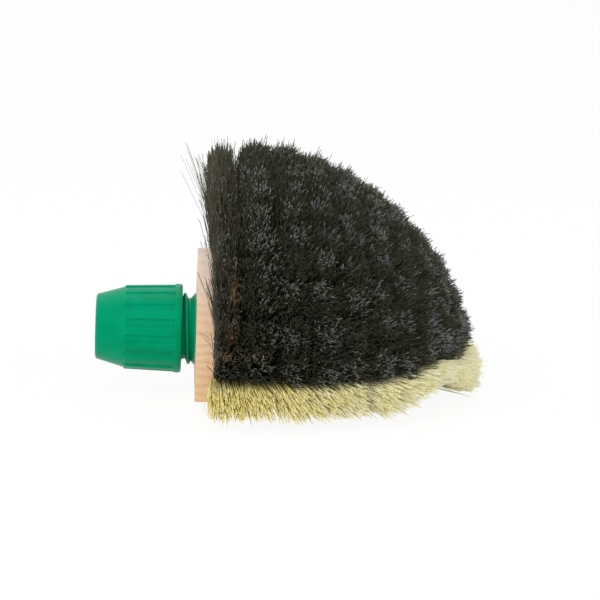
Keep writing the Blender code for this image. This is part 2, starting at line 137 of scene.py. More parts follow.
def mouldedPlastic():
    # Injection-moulded polypropylene: even, slightly soft gloss over a fine moulded texture
    material, tree, shader = newMaterial("greenPolypropylene", IOR=1.45)
    # Deeply coloured all through, so its gloss is green rather than white
    shader.inputs["Specular IOR Level"].default_value = 0.22
    shader.inputs["Specular Tint"].default_value = linearColour("40e8b0")
    place = addNode(tree, "ShaderNodeTexCoord").outputs["Object"]
    cloud = addNoise(tree, place, scale=60.0, detail=3.0)
    body = blend(tree, ramp(tree, cloud, 0.35, 0.65), linearColour("008e63"), linearColour("009b72"))
    # Rubbed spots of a few millimetres are paler and duller
    rub = addNoise(tree, place, scale=220.0, detail=6.0, roughness=0.7)
    worn = ramp(tree, rub, 0.62, 0.74, 0.0, 0.25)
    tree.links.new(blend(tree, worn, body, linearColour("10aa7a")), shader.inputs["Base Color"])
    tree.links.new(ramp(tree, rub, 0.3, 0.75, 0.3, 0.44), shader.inputs["Roughness"])
    # Spark-eroded mould texture, about 0.5 mm, drawn a little coarser than real
    addBump(tree, shader, addNoise(tree, place, scale=2000.0), strength=0.12, depth=0.05 * mm)
    return material


def sandedBeech():
    # Beech, turned and sanded, unvarnished: pinkish tan, faint grain and short dark ray flecks
    material, tree, shader = newMaterial("sandedBeech", Roughness=0.62, IOR=1.45)
    place = addNode(tree, "ShaderNodeTexCoord").outputs["Object"]
    # Growth layers lie flat, about 4.5 mm apart, run along Y and wander slowly
    along = addMapping(tree, place, (0.45, 0.08, 1.0))
    wander = addNoise(tree, along, scale=40.0)
    layers = addNode(
        tree, "ShaderNodeTexWave", dict(wave_type="BANDS", bands_direction="Z"),
        {"Scale": 70.0, "Distortion": 9.0, "Detail": 3.0, "Detail Scale": 0.6, "Detail Roughness": 0.6},
        {"Vector": along},
    )
    tone = blend(tree, ramp(tree, wander, 0.3, 0.7), linearColour("f4c89a"), linearColour("f8d8b2"))
    ring = blend(tree, ramp(tree, layers.outputs["Fac"], 0.35, 1.0, 0.0, 0.4), tone, linearColour("dca87a"))
    # Pores: fine streaks well under 1 mm wide and some millimetres long
    fine = addNoise(tree, addMapping(tree, place, (0.12, 0.05, 1.0)), scale=1500.0, detail=3.0)
    porous = blend(tree, ramp(tree, fine, 0.5, 0.72, 0.0, 0.35), ring, linearColour("d2a474"))
    # Painted highlight: paler and greyer towards the crown, where the light from above falls
    height = addNode(tree, "ShaderNodeSeparateXYZ", None, None, {"Vector": place}).outputs["Z"]
    porous = blend(tree, ramp(tree, height, 5 * mm, 45 * mm, 0.0, 0.75), porous, linearColour("fff4e8"))
    # Ray flecks, 1 to 3 mm long
    flecks = addMapping(tree, place, (0.3, 0.22, 1.0))
    cells = addNode(tree, "ShaderNodeTexVoronoi", None, {"Scale": 620.0}, {"Vector": flecks})
    fleck = ramp(tree, cells.outputs["Distance"], 0.12, 0.22, 0.35, 0.0)
    tree.links.new(blend(tree, fleck, porous, linearColour("b4855c")), shader.inputs["Base Color"])
    addBump(tree, shader, fine, strength=0.25, depth=0.08 * mm)
    return material


def bristleMaterial(name, colours, tipColours, tipSpan, roughness, rootShare, gloss, fade, thinColour=None):
    # Each strand has its own tone, darker at the root, and some of the cut tips get a painted highlight,
    # their glint, where they would catch the light
    material, tree, shader = newMaterial(name, Roughness=roughness, IOR=1.5)
    shader.inputs["Specular IOR Level"].default_value = gloss
    strand = addNode(tree, "ShaderNodeAttribute", dict(attribute_name="strand")).outputs["Fac"]
    length = addNode(tree, "ShaderNodeAttribute", dict(attribute_name="length")).outputs["Fac"]
    glint = addNode(tree, "ShaderNodeAttribute", dict(attribute_name="glint")).outputs["Fac"]
    low, high, root = [linearColour(code) for code in colours]
    body = blend(tree, strand, low, high)
    body = blend(tree, ramp(tree, length, 0.0, rootShare, 1.0, 0.0), body, root)
    place = addNode(tree, "ShaderNodeTexCoord").outputs["Object"]
    # Paler along the pole axis: the colour, the X span it sets in over, and its share. On the cream strands
    # this is painted light, brighter towards the front; on the black ones it only makes them greyer towards
    # the wood
    front = addNode(tree, "ShaderNodeSeparateXYZ", None, None, {"Vector": place}).outputs["X"]
    body = blend(tree, ramp(tree, front, *fade[1]), body, linearColour(fade[0]))
    if thinColour:   # where the bristles are thin and the wood shows through
        thin = addNode(tree, "ShaderNodeAttribute", dict(attribute_name="thin")).outputs["Fac"]
        body = blend(tree, thin, body, linearColour(thinColour))
    patch = ramp(tree, addNoise(tree, place, scale=70.0), 0.42, 0.58)
    tip = blend(tree, patch, linearColour(tipColours[0]), linearColour(tipColours[1]))
    end = ramp(tree, length, *tipSpan)
    share = addNode(tree, "ShaderNodeMath", dict(operation="MULTIPLY"), None, {0: end, 1: glint}).outputs[0]
    tree.links.new(blend(tree, share, body, tip), shader.inputs["Base Color"])
    return material


def naturalNylon():
    # Uncoloured nylon: milky, slightly yellow, soft gloss
    material, tree, shader = newMaterial("naturalNylon", Roughness=0.42, IOR=1.53, Subsurface_Weight=0.15)
    place = addNode(tree, "ShaderNodeTexCoord").outputs["Object"]
    cloud = addNoise(tree, place, scale=180.0, detail=3.0)
    tone = blend(tree, cloud, linearColour("e3dfd0"), linearColour("efece2"))
    tree.links.new(tone, shader.inputs["Base Color"])
    addBump(tree, shader, addNoise(tree, place, scale=2200.0), strength=0.1, depth=0.05 * mm)
    return material


def zincPlatedSteel():
    # Zinc-plated steel: bluish grey metal with cloudy, slightly uneven gloss
    material, tree, shader = newMaterial("zincPlatedSteel", Metallic=1.0)
    place = addNode(tree, "ShaderNodeTexCoord").outputs["Object"]
    cloud = addNoise(tree, place, scale=500.0, detail=4.0)
    tone = blend(tree, cloud, linearColour("b7babb"), linearColour("d3d2cc"))
    tree.links.new(tone, shader.inputs["Base Color"])
    tree.links.new(ramp(tree, cloud, 0.3, 0.7, 0.25, 0.42), shader.inputs["Roughness"])
    return material


greenPlastic = mouldedPlastic()
beechWood = sandedBeech()
# tipColours are the painted highlights on the glinting tips of the strands
blackHair = bristleMaterial(
    "blackBristle", colours=("3a3c2f", "4a4c3d", "383a2c"), tipColours=("8d8e86", "7d8086"),
    tipSpan=(0.96, 0.98), roughness=0.65, rootShare=0.5, gloss=0.12,
    fade=("656152", (34 * mm, 8 * mm, 0.0, 0.55)), thinColour="ac8f6a",
)
# The cream strands' fade is painted light: paler towards the front, where more light would fall
creamHair = bristleMaterial(
    "creamBristle", colours=("f0d65c", "fff6ac", "dcb84c"), tipColours=("fff6bc", "fffbdc"),
    tipSpan=(0.75, 1.0), roughness=0.5, rootShare=0.85, gloss=0.2,
    fade=("fffddc", (30 * mm, 110 * mm, 0.0, 0.7)),
)
# Light goes some way into the pale strands and comes out of their neighbours
creamShader = creamHair.node_tree.nodes["Principled BSDF"]
creamShader.inputs["Subsurface Weight"].default_value = 0.2
creamShader.inputs["Subsurface Radius"].default_value = (1.0, 0.85, 0.4)
creamShader.inputs["Subsurface Scale"].default_value = 0.5 * mm
nylonRing = naturalNylon()
zincSteel = zincPlatedSteel()
print("materials made")


def finishPiece(name, bm, material, body, replaced, sharp=35):
    # A bmesh becomes a closed piece that stands for CAD nodes and rides on their body
    bmesh.ops.recalc_face_normals(bm, faces=bm.faces)
    mesh = bpy.data.meshes.new(name)
    bm.to_mesh(mesh)
    bm.free()
    mesh.shade_smooth()
    if sharp:
        mesh.set_sharp_from_angle(angle=math.radians(sharp))
    mesh.materials.append(material)
    piece = bpy.data.objects.new(name, mesh)
    scene.collection.objects.link(piece)
    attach(piece, body)
    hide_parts(replaced)


def cutWith(bm, cutter):
    # The first shape with the second one cut out of it
    objects = []
    for shape in (bm, cutter):
        mesh = bpy.data.meshes.new("cutHelper")
        bmesh.ops.recalc_face_normals(shape, faces=shape.faces)
        shape.to_mesh(mesh)
        shape.free()
        objects.append(bpy.data.objects.new("cutHelper", mesh))
        scene.collection.objects.link(objects[-1])
    solid, tool = objects
    cut = solid.modifiers.new("cut", "BOOLEAN")
    cut.operation = "DIFFERENCE"
    cut.solver = "EXACT"
    cut.object = tool
    view = bpy.context.evaluated_depsgraph_get()
    mesh = bpy.data.meshes.new_from_object(solid.evaluated_get(view))
    result = bmesh.new()
    result.from_mesh(mesh)
    for obj in objects:
        helper = obj.data
        bpy.data.objects.remove(obj)
        bpy.data.meshes.remove(helper)
    bpy.data.meshes.remove(mesh)
    return result


def spinProfile(profile, steps, angle=fullTurn, closed=False, start=0.0):
    # Turn an (x, radius) profile about the pole axis; start is its angle from +Z towards -Y
    bm = bmesh.new()
    rowLayer = bm.verts.layers.int.new("row")
    verts = [bm.verts.new((x, -r * math.sin(start), r * math.cos(start))) for x, r in profile]
    for row, vert in enumerate(verts):
        vert[rowLayer] = row
    pairs = list(zip(verts, verts[1:] + verts[:1])) if closed else list(zip(verts, verts[1:]))
    edges = [bm.edges.new(pair) for pair in pairs]
    whole = abs(angle - fullTurn) < 1e-6
    bmesh.ops.spin(
        bm, geom=verts + edges, cent=(0, 0, 0), axis=(1, 0, 0), angle=angle, steps=steps, use_merge=whole
    )
    bmesh.ops.remove_doubles(bm, verts=bm.verts, dist=1e-7)
    return bm


def threadRidge(bm, shape, startX, turns, pitch, stepsPerTurn):
    # Right-handed ridge: one closed face swept round the axis while it moves along it
    steps = round(turns * stepsPerTurn)
    face = bm.faces.new([bm.verts.new((startX + x, 0.0, r)) for x, r in shape])
    bmesh.ops.spin(
        bm, geom=[face], cent=(0, 0, 0), axis=(1, 0, 0), steps=steps,
        angle=steps * fullTurn / stepsPerTurn, dvec=(pitch / stepsPerTurn, 0.0, 0.0),
    )


def quarterArc(start, end, steps, outward):
    # Points of a quarter ellipse between two (x, r) corners, without its first point
    points = []
    for i in range(1, steps + 1):
        a = math.pi / 2 * i / steps
        s, c = math.sin(a), 1 - math.cos(a)
        dx, dr = (c, s) if outward else (s, c)
        points.append((start[0] + (end[0] - start[0]) * dx, start[1] + (end[1] - start[1]) * dr))
    return points


def domeDirection(theta, phi):
    # Unit vector at theta from +X, turned by phi from -Y over the top towards +Y
    return Vector((math.cos(theta), -math.sin(theta) * math.cos(phi), math.sin(theta) * math.sin(phi)))


def acrossRows(theta, phi):
    # Unit vector across the rows at that place, towards the back
    return Vector((-math.sin(theta), -math.cos(theta) * math.cos(phi), math.cos(theta) * math.sin(phi)))


def creamDirection(azimuth, rise):
    level = math.cos(rise)
    return Vector((level * math.sin(azimuth), -level * math.cos(azimuth), math.sin(rise)))


def blackTufts(row):
    # Each tuft: its direction, two axes across it, and the middle and half widths of its tips
    theta = math.pi / 2 - layout["firstRowAngle"] - row * rowStep
    ring = blockRadius * math.sin(theta)
    start = math.asin(layout["blackStart"] / ring)
    gaps = max(2, round((math.pi - 2 * start) * ring / layout["tuftSpacing"]))
    step = (math.pi - 2 * start) / gaps
    tufts = []
    for i in range(gaps + 1):
        phi = start + i * step
        along = Vector((0.0, math.sin(phi), math.cos(phi)))
        across = acrossRows(theta, phi)
        low = high = rowStep / 2
        if row == 0:   # the first row leans back on top and forward, off the wood, near the flat side
            low -= firstRow["slit"] * math.sin(phi) ** 8
            high += firstRow["leanBack"] * math.sin(phi) ** 2 - firstRow["leanForward"] * math.cos(phi) ** 4
        if row == layout["blackRows"] - 1:   # the last row also fills the space in front of it
            low = theta - math.asin(math.sin(levelRise) / math.sin(phi))
        half = ((math.sin(theta) * step) / 2, (low + high) / 2)
        tufts.append((domeDirection(theta, phi), along, across, (0.0, (high - low) / 2), half))
    return tufts


def creamTuft(number):
    azimuth = layout["firstRowAngle"] + (number - 1) * rowStep
    if number > layout["rowSteps"]:
        azimuth = math.pi / 2 + (number - 1 - layout["rowSteps"]) * rowStep
    rise = math.asin(layout["creamHeight"] / blockRadius)
    low = layout["creamTipHeight"] / reach[1] - rise
    high = levelRise - layout["creamGap"] / reach[1] - rise
    along = Vector((math.cos(azimuth), math.sin(azimuth), 0.0))
    lean = math.sin(rise)
    across = Vector((-lean * math.sin(azimuth), lean * math.cos(azimuth), math.cos(rise)))
    middle = (0.0, (low + high) / 2)
    half = (rowStep / 2, (high - low) / 2)
    return creamDirection(azimuth, rise), along, across, middle, half


block = dict(
    edge=0.9 * mm,
    edgeSteps=3,
    roundSteps=96,
    archSteps=40,
    holeWidth=5.8 * mm,
    holeDepth=8 * mm,
    holeSides=12,
    pilotRadius=2.1 * mm,
    pilotSides=24,
    pilotPast=0.3 * mm,              # pilot holes go this far past the screw's point
    cutOver=2 * mm,                  # cutters stand this far out of the wood
    sharp=math.radians(40),          # edges sharper than this are rounded
)


def makeBlock():
    back = -layout["plateDepth"]
    profile = [(back, 0.0), (back, blockRadius)]
    for i in range(block["archSteps"] + 1):
        a = math.pi / 2 * i / block["archSteps"]
        profile.append((blockRadius * math.sin(a), blockRadius * math.cos(a)))
    # Half a turn, from +Y over the top to -Y
    bm = spinProfile(profile, block["roundSteps"], math.pi, start=-math.pi / 2)
    bmesh.ops.contextual_create(bm, geom=[edge for edge in bm.edges if edge.is_boundary])
    rims = [edge for edge in bm.edges if edge.is_manifold and edge.calc_face_angle(0.0) > block["sharp"]]
    bmesh.ops.bevel(
        bm, geom=rims, offset=block["edge"], offset_type="OFFSET", segments=block["edgeSteps"],
        profile=0.5, affect="EDGES", material=-1, clamp_overlap=True,
    )
    bmesh.ops.translate(bm, verts=bm.verts, vec=domeCentre)
    holes = bmesh.new()
    tufts = [t for row in range(layout["blackRows"]) for t in blackTufts(row)]
    tufts += [creamTuft(number) for number in range(1, layout["creamTufts"] + 1)]
    depth = block["holeDepth"] + block["cutOver"]
    for direction, *_ in tufts:
        middle = domeCentre + direction * (blockRadius - block["holeDepth"] + depth / 2)
        place = Matrix.Translation(middle) @ direction.to_track_quat("Z", "Y").to_matrix().to_4x4()
        bmesh.ops.create_cone(
            holes, cap_ends=True, segments=block["holeSides"], radius1=block["holeWidth"] / 2,
            radius2=block["holeWidth"] / 2, depth=depth, matrix=place,
        )
    for number in screwNumbers:
        low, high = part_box(f"socket_screw_{number}")
        length = high.x - blockLow.x + block["cutOver"]
        end = high.x + block["pilotPast"]
        middle = Vector((end - length / 2, (low.y + high.y) / 2, (low.z + high.z) / 2))
        place = Matrix.Translation(middle) @ Matrix.Rotation(math.pi / 2, 4, "Y")
        bmesh.ops.create_cone(
            holes, cap_ends=True, segments=block["pilotSides"], radius1=block["pilotRadius"],
            radius2=block["pilotRadius"], depth=length, matrix=place,
        )
    finishPiece("beechBlock", cutWith(bm, holes), beechWood, "root", "wooden_block")


makeBlock()
print("block made")

thread = dict(
    pitch=5 * mm, crestWidth=1.2 * mm, baseWidth=3.0 * mm, depth=2.75 * mm, sink=0.4 * mm,
    clearance=0.4 * mm, stepsPerTurn=72, nutTurns=3, fit=0.3 * mm, rounding=0.35 * mm,
    lead=2.6 * mm,                   # bare end of the sleeve before the thread
)
socket = dict(
    wall=2.3 * mm, rim=0.5 * mm, steps=96, headRadius=4.0 * mm, headInset=0.2 * mm, headDepth=2.0 * mm,
    flangeLength=2.9 * mm, flangeEdge=0.5 * mm, flangeRound=0.2 * mm, holeSteps=32,
    cutOver=1 * mm,                  # screw hole cutters stand this far out of the floor
)
socketLow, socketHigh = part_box("pole_socket")
crestRadius = socketHigh.z
rootRadius = crestRadius - thread["depth"]
boreRadius = rootRadius - socket["wall"]
threadFlank = (thread["baseWidth"] - thread["crestWidth"]) / (crestRadius - rootRadius)
sleeveStart = socketLow.x + thread["lead"] + thread["baseWidth"] / 2 + thread["fit"]


def makeSocket():
    left, right, rim = socketLow.x, socketHigh.x, socket["rim"]
    profile = [(0.0, 0.0), (0.0, boreRadius - rim)]
    profile += quarterArc((0.0, boreRadius - rim), (-rim, boreRadius), 3, False)
    profile += [(left + rim, boreRadius)]
    profile += quarterArc((left + rim, boreRadius), (left, boreRadius + rim), 3, False)
    profile += [(left, rootRadius - rim)]
    profile += quarterArc((left, rootRadius - rim), (left + rim, rootRadius), 3, True)
    # Flange that flares out to the wood
    foot, edge = right - socket["flangeLength"], right - socket["flangeEdge"]
    soft = socket["flangeRound"]
    profile += [(foot - 3 * soft, rootRadius), (foot + soft, rootRadius + 0.6 * soft)]
    profile += [(edge - soft, crestRadius - 1.2 * soft), (edge, crestRadius - 0.3 * soft)]
    profile += [(edge + soft, crestRadius), (right, crestRadius), (right, 0.0)]
    bm = spinProfile(profile, socket["steps"])
    holes = bmesh.new()
    shank = block["pilotRadius"]
    head, inset, over = socket["headRadius"], socket["headInset"], socket["cutOver"]
    seat = inset + socket["headDepth"]
    for number in screwNumbers:
        low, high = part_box(f"socket_screw_{number}")
        cut = [(-over, 0.0), (-over, head), (inset, head)]
        cut += [(seat, shank), (right + over, shank), (right + over, 0.0)]
        hole = spinProfile(cut, socket["holeSteps"])
        shift = Vector((0.0, (low.y + high.y) / 2, (low.z + high.z) / 2))
        bmesh.ops.translate(hole, verts=hole.verts, vec=shift)
        mesh = bpy.data.meshes.new("cutHelper")
        hole.to_mesh(mesh)
        hole.free()
        holes.from_mesh(mesh)
        bpy.data.meshes.remove(mesh)
    bm = cutWith(bm, holes)
    # Thread with a rounded crest, from the sleeve's end to the wood
    foot = rootRadius - thread["sink"]
    half = thread["baseWidth"] / 2 + threadFlank * thread["sink"] / 2
    crest, soft = thread["crestWidth"] / 2, thread["rounding"]
    shape = [(-half, foot), (-crest - threadFlank / 2 * soft, crestRadius - soft)]
    shape += [(-crest * 0.8, crestRadius - soft * 0.25), (-crest * 0.4, crestRadius)]
    shape += [(-x, r) for x, r in reversed(shape)]
    turns = (right - thread["baseWidth"] / 2 - thread["fit"] - sleeveStart) / thread["pitch"]
    threadRidge(bm, shape, sleeveStart, turns, thread["pitch"], thread["stepsPerTurn"])
    finishPiece("poleSocket", bm, greenPlastic, "root", "pole_socket")


makeSocket()
print("socket made")

# The nut's cone follows the collet inside it
collet = dict(tipWall=0.95 * mm, slit=3 * mm, edge=0.2 * mm, sharp=math.radians(40), steps=96)
nut = dict(
    wall=2.1 * mm, coneLength=15.3 * mm, noseRound=1.8 * mm, rimWidth=1.0 * mm,
    lipLength=4.3 * mm, lipStep=0.5 * mm, lipRound=1.4 * mm, leadIn=0.7 * mm,
    easeStart=0.3 * mm, easeLength=1.3 * mm,   # the grip band's ribs run out into the lip
    ribs=16, ribHeight=0.85 * mm, ribSlope=0.7 * mm, ribTurn=math.radians(2.7),
    edge=0.16 * mm, sharp=math.radians(32), coneRows=4,
)
# Angles of a rib's eight columns from its middle: four on its top, four in the groove beside it
ribColumns = [math.radians(a) for a in (-5.3, -1.8, 1.8, 5.3, 6.9, 9.8, 12.7, 15.6)]


def makeNut():
    low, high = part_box("locking_nut")
    left, right = low.x, high.x
    bore = crestRadius + thread["clearance"]
    colletLow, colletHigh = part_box("clamping_collet")
    cavity = colletLow.x - thread["fit"]
    coneRadius = boreRadius + collet["tipWall"] + thread["fit"]
    nose = coneRadius + nut["wall"] + thread["fit"]
    groove = bore + nut["wall"]
    lip = high.z
    grooveEnd = lip - nut["lipStep"] - nut["ribHeight"]
    mouth = boreRadius + thread["fit"]
    rim = mouth + nut["rimWidth"]
    coneEnd = left + nut["coneLength"]
    bandEnd = right - nut["lipLength"]
    rise = nut["ribHeight"]
    # (x, radius in the grooves, radius on the ribs)
    rows = [(left, rim, rim)]
    rows += [(x, r, r) for x, r in quarterArc((left, rim), (left + nut["noseRound"], nose), 6, True)]
    for i in range(1, nut["coneRows"] + 1):
        x = left + nut["noseRound"] + (coneEnd - left - nut["noseRound"]) * i / nut["coneRows"]
        r = nose + (groove - nose) * i / nut["coneRows"]
        rows.append((x, r, r))
    for s, t in ((0.35, 0.55), (0.7, 0.9), (1.1, 1.0)):
        rows.append((coneEnd + nut["ribSlope"] * s, groove, groove + rise * t))
    rows.append(((coneEnd + bandEnd) / 2, (groove + grooveEnd) / 2, (groove + grooveEnd) / 2 + rise))
    easeFrom = bandEnd - nut["easeStart"]
    rows.append((easeFrom, grooveEnd, grooveEnd + rise))
    for t in (0.25, 0.5, 0.75, 1.0):
        ease = t * t * (3 - 2 * t)
        spots = [r + (lip - r) * ease for r in (grooveEnd, grooveEnd + rise)]
        rows.append((easeFrom + nut["easeLength"] * t, *spots))
    bend = nut["lipRound"]
    rows.append((right - bend, lip, lip))
    rows += [(x, r, r) for x, r in quarterArc((right - bend, lip), (right, lip - bend), 5, False)]
    inside = [(right, bore + nut["leadIn"]), (right - nut["leadIn"], bore), (colletHigh.x, bore)]
    inside += [(cavity, coneRadius), (cavity, mouth), (left, mouth)]
    rows += [(x, r, r) for x, r in inside]
    steps = nut["ribs"] * len(ribColumns)
    column = fullTurn / steps
    first = math.pi / 2 - nut["ribTurn"] + ribColumns[0]
    bm = spinProfile([(x, r) for x, r, _ in rows], steps, closed=True, start=first)
    rowLayer = bm.verts.layers.int["row"]
    # Each column of points moves to its own angle, and out to the rib's top where it is on one
    for vert in bm.verts:
        turned = math.atan2(-vert.co.y, vert.co.z) - first
        index = round(turned / column) % steps
        rib, part = divmod(index, len(ribColumns))
        angle = first - ribColumns[0] + rib * fullTurn / nut["ribs"] + ribColumns[part]
        x, inGroove, onRib = rows[vert[rowLayer]]
        radius = onRib if part < len(ribColumns) // 2 else inGroove
        vert.co = (x, -radius * math.sin(angle), radius * math.cos(angle))
    bmesh.ops.recalc_face_normals(bm, faces=bm.faces)
    sharpEdges = [
        edge for edge in bm.edges if edge.is_convex and edge.calc_face_angle(0.0) > nut["sharp"]
    ]
    bmesh.ops.bevel(
        bm, geom=sharpEdges, offset=nut["edge"], offset_type="OFFSET", segments=2,
        profile=0.5, affect="EDGES", material=-1, clamp_overlap=True,
    )
    # Inner thread, three turns between the sleeve's ridges
    crest = rootRadius + thread["clearance"]
    crestHalf = (thread["pitch"] - thread["baseWidth"] + (threadFlank - 2) * thread["clearance"]) / 2
    foot = bore + thread["sink"]
    footHalf = crestHalf + threadFlank * (foot - crest) / 2
    between = sleeveStart + thread["pitch"] / 2
    latest = right - nut["leadIn"] - footHalf - thread["nutTurns"] * thread["pitch"]
    start = between + math.floor((latest - between) / thread["pitch"]) * thread["pitch"]
    shape = [(-footHalf, foot), (-crestHalf, crest), (crestHalf, crest), (footHalf, foot)]
    threadRidge(bm, shape, start, thread["nutTurns"], thread["pitch"], thread["stepsPerTurn"])
    finishPiece("lockingNut", bm, greenPlastic, "nut", "locking_nut", sharp=28)


makeNut()
print("nut made")

def makeCollet():
    low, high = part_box("clamping_collet")
    tip = boreRadius + collet["tipWall"]
    wide = high.y
    profile = [(low.x, boreRadius), (low.x, tip), (high.x, wide), (high.x, boreRadius)]
    slit = collet["slit"] / boreRadius
    bm = bmesh.new()
    face = bm.faces.new([bm.verts.new((x, 0.0, r)) for x, r in profile])
    angle = fullTurn - slit
    bmesh.ops.spin(bm, geom=[face], cent=(0, 0, 0), axis=(1, 0, 0), angle=angle, steps=collet["steps"])
    bmesh.ops.rotate(bm, verts=bm.verts, cent=(0, 0, 0), matrix=Matrix.Rotation(slit / 2, 3, "X"))
    bmesh.ops.recalc_face_normals(bm, faces=bm.faces)
    corners = [edge for edge in bm.edges if edge.calc_face_angle(0.0) > collet["sharp"]]
    bmesh.ops.bevel(
        bm, geom=corners, offset=collet["edge"], offset_type="OFFSET", segments=2,
        profile=0.5, affect="EDGES", material=-1, clamp_overlap=True,
    )
    finishPiece("clampingCollet", bm, nylonRing, "collet", "clamping_collet")


makeCollet()

screw = dict(
    headDepth=2 * mm, shankRadius=1.8 * mm, point=3 * mm, recessWidth=0.9 * mm, recessSpan=4.0 * mm,
    recessDepth=1.3 * mm, threadHeight=0.35 * mm, threadPitch=1.8 * mm, edge=0.25 * mm,
    plainTo=4 * mm, coreFrom=4.4 * mm, threadFrom=5 * mm,   # measured from under the head
    threadSink=0.2 * mm, steps=32, threadSteps=24,
)


def makeScrew(number):
    low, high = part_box(f"socket_screw_{number}")
    centre = Vector((0.0, (low.y + high.y) / 2, (low.z + high.z) / 2))
    head, top, end = (high.y - low.y) / 2, low.x, high.x
    shank, edge = screw["shankRadius"], screw["edge"]
    core = shank - screw["threadHeight"]
    neck = top + screw["headDepth"]
    profile = [(top, 0.0), (top, head - edge), (top + edge, head), (neck, shank)]
    profile += [(neck + screw["plainTo"], shank), (neck + screw["coreFrom"], core)]
    profile += [(end - screw["point"], core), (end, 0.0)]
    bm = spinProfile(profile, screw["steps"])
    cross = bmesh.new()
    for turn in (0.0, math.pi / 2):
        size = Matrix.Diagonal((2 * screw["recessDepth"], screw["recessWidth"], screw["recessSpan"], 1.0))
        place = Matrix.Translation((top, 0.0, 0.0)) @ Matrix.Rotation(turn, 4, "X") @ size
        bmesh.ops.create_cube(cross, size=1.0, matrix=place)
    bm = cutWith(bm, cross)
    tooth = screw["threadPitch"] * 0.3
    foot = core - screw["threadSink"]
    shape = [(-tooth, foot), (0.0, shank), (tooth, foot)]
    first = neck + screw["threadFrom"]
    turns = (end - screw["point"] - tooth - first) / screw["threadPitch"]
    threadRidge(bm, shape, first, turns, screw["threadPitch"], screw["threadSteps"])
    bmesh.ops.translate(bm, verts=bm.verts, vec=centre)
    finishPiece(f"socketScrew{number}", bm, zincSteel, "root", f"socket_screw_{number}")


for number in screwNumbers:
    makeScrew(number)
print("collet and screws made")

# Bristles: each look says how a tuft's strands spread, end, curl and carry painted highlights at their
# tips; shares are the points along a strand as parts of its free length, with the first one inside the hole
strandSides = 3
seeds = dict(black=100, cream=200)
section = bpy.data.curves.new("strandSection", "CURVE")
section.dimensions = "2D"
ring = section.splines.new("POLY")
ring.points.add(strandSides - 1)
for i in range(strandSides):
    angle = i * fullTurn / strandSides
    ring.points[i].co = (math.cos(angle), math.sin(angle), 0.0, 1.0)
ring.use_cyclic_u = True
sectionObject = bpy.data.objects.new("strandSection", section)
scene.collection.objects.link(sectionObject)

blackLook = dict(
    shares=(-0.09, 0.5, 0.935, 0.968, 1.0), curlFrom=0.93, droop=0.0,
    count=300, thickness=0.36 * mm, holeRadius=2.4 * mm, fill=0.92, blur=0.17, wander=0.1,
    overreach=0.0 * mm, valley=2.0 * mm, sideDrop=1.4 * mm, shortBy=1.6 * mm, uneven=1.0 * mm,
    longShare=0.08, longBy=3.2 * mm, strayShare=0.05, strayReach=0.7, crimp=0.6 * mm, curl=3.6 * mm,
    bow=1.15, glints=0.95, glintSpan=0.6, glintWander=0.35, glintSize=1.35, uprightShare=1.0,
)
firstRowLook = dict(
    blackLook, curl=1.5 * mm, shortBy=5.0 * mm, uneven=2.0 * mm, glints=0.45, strayShare=0.1,
)
creamLook = dict(
    shares=(-0.09, 0.42, 0.7, 0.82, 0.92, 1.0), curlFrom=0.93, droop=6.0 * mm,
    count=520, thickness=0.42 * mm, holeRadius=2.4 * mm, fill=0.98, blur=0.14, wander=0.1,
    overreach=0.8 * mm, valley=1.2 * mm, sideDrop=2.0 * mm, shortBy=3.2 * mm, uneven=1.6 * mm,
    longShare=0.03, longBy=2.0 * mm, strayShare=0.04, strayReach=0.5, crimp=0.25 * mm, curl=0.6 * mm,
    bow=1.05, glints=0.8, glintSpan=1.1, glintWander=0.2, glintSize=1.0, uprightShare=0.0,
)
looseLook = dict(blackLook, thickness=0.2 * mm, curl=1.0 * mm)

# Worn tufts at one front corner: below they are brushed up, and beside that they fan out at the
# edge of the black rows. How far, where, and over what width and height
brushedUp = dict(
    angle=math.radians(5), azimuth=math.radians(60), width=math.radians(12), fade=math.radians(8),
)
fannedOut = dict(
    angle=math.radians(3.5), azimuth=math.radians(86), width=math.radians(14), height=math.radians(6),
)
lowestTip = blockLow.z - layout["hang"]


# Tufts that stand up are straighter and end less evenly: where that sets in, as the height of
# their direction, and how much each of the look's values grows or shrinks
standing = dict(fromZ=0.88, span=0.1, shortBy=2.0, curl=-0.6, glints=-0.7, longBy=1.0)


def tipReach(directions):
    # Distance from the dome's centre to the trimmed tips, for rows of unit vectors
    plain = 1 / np.sqrt(((directions / reach) ** 2).sum(1))
    trim = np.maximum(0.0, 1 - directions[:, 0] / math.sin(layout["backTrimAngle"]))
    return plain - trim * layout["backTrim"]


def liftTips(directions):
    azimuth = np.arctan2(directions[:, 0], -directions[:, 1])
    rise = np.arcsin(directions[:, 2])
    up = brushedUp["angle"] * np.exp(-((azimuth - brushedUp["azimuth"]) / brushedUp["width"]) ** 2)
    up *= np.exp(-np.maximum(rise, 0.0) / brushedUp["fade"])
    out = fannedOut["angle"] * np.exp(-((azimuth - fannedOut["azimuth"]) / fannedOut["width"]) ** 2)
    out *= np.exp(-((rise - levelRise) / fannedOut["height"]) ** 2)
    rise = rise + up + out
    level = np.cos(rise)
    return np.stack((level * np.sin(azimuth), -level * np.cos(azimuth), np.sin(rise)), 1)


